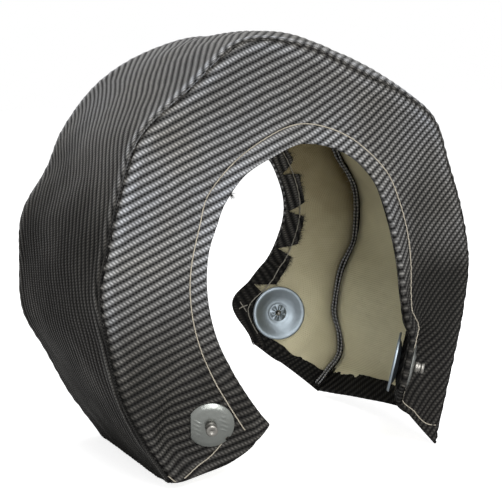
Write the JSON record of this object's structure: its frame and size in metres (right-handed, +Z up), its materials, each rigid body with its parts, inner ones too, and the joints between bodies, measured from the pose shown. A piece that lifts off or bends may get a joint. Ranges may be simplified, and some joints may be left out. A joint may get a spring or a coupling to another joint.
{
  "type": "turbo heat blanket",
  "caption": "Soft C-shaped heat blanket that wraps a turbine housing: two sewn side panels and a band of dark twill over insulation, pale liner, steel lacing studs with locking washers.",
  "frame": {"origin": "middle of the ground that the blanket's bounding box covers, on the ground", "axes": "+Z up; -Y towards the front panel; +X to the right as seen from the front panel's side; the bore runs along Y"},
  "size_m": [0.221, 0.1564, 0.2248],
  "materials": {
    "twill_cover": "black glass or basalt fibre twill with a silvery sheen on its strands, folded and sewn hems",
    "insulation_mat": "needled silica fibre mat, off-white, matte",
    "liner_cloth": "plain-woven cream to khaki high-temperature cloth, matte, slightly soiled",
    "bright_plate": "polished sheet steel, lightly hammered, with soft reflections",
    "stud_steel": "turned steel, satin",
    "locking_steel": "stamped spring steel, bluish grey, satin"
  },
  "bodies": {
    "root": {"front_panel_cover": "twill_cover", "front_panel_mat": "insulation_mat", "front_panel_liner": "liner_cloth", "back_panel_cover": "twill_cover", "back_panel_mat": "insulation_mat", "back_panel_liner": "liner_cloth", "band_cover": "twill_cover", "band_mat": "insulation_mat", "band_liner": "liner_cloth", "front_left_outer_washer": "bright_plate", "front_left_stud": "stud_steel", "front_left_locking_washer": "locking_steel", "front_right_outer_washer": "bright_plate", "front_right_stud": "stud_steel", "front_right_locking_washer": "locking_steel", "back_left_outer_washer": "bright_plate", "back_left_stud": "stud_steel", "back_left_locking_washer": "locking_steel", "back_right_outer_washer": "bright_plate", "back_right_stud": "stud_steel", "back_right_locking_washer": "locking_steel"}
  },
  "joints": []
}
